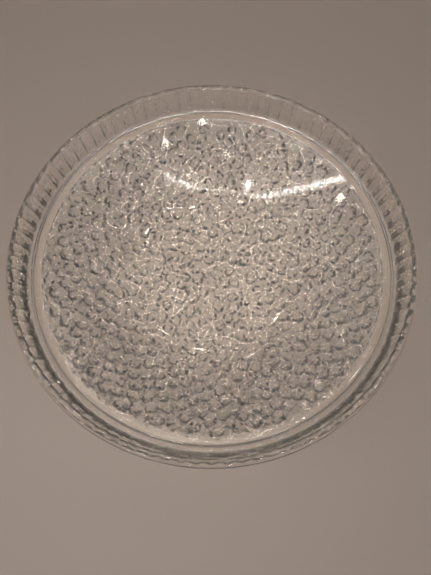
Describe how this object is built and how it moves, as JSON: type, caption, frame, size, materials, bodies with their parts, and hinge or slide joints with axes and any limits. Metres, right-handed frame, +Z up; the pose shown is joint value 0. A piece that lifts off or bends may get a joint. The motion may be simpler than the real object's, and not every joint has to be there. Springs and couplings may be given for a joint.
{
  "type": "cheese dome with base dish",
  "caption": "Clear pressed-glass cheese dome with pebbled outside, lying mouth up in its galleried base dish with a fluted rim.",
  "frame": {"origin": "under the centre of the dish's flat base, on the surface the dish stands on", "axes": "+Z up along the axis both pieces are turned about; X and Y are equivalent"},
  "size_m": [0.28, 0.28, 0.0702],
  "materials": {
    "dish_glass": "clear, glossy pressed glass, fluted on the outside of the rim",
    "dome_glass": "clear pressed glass, glossy smooth inside, pebbled outside"
  },
  "bodies": {
    "dish": {"base_dish": "dish_glass"},
    "dome": {"dome": "dome_glass"}
  },
  "joints": [
    {"name": "dome_lift", "type": "slide", "parent": "dish", "child": "dome", "axis": [0, 0, 1], "range_m": [0, 0.12]}
  ]
}
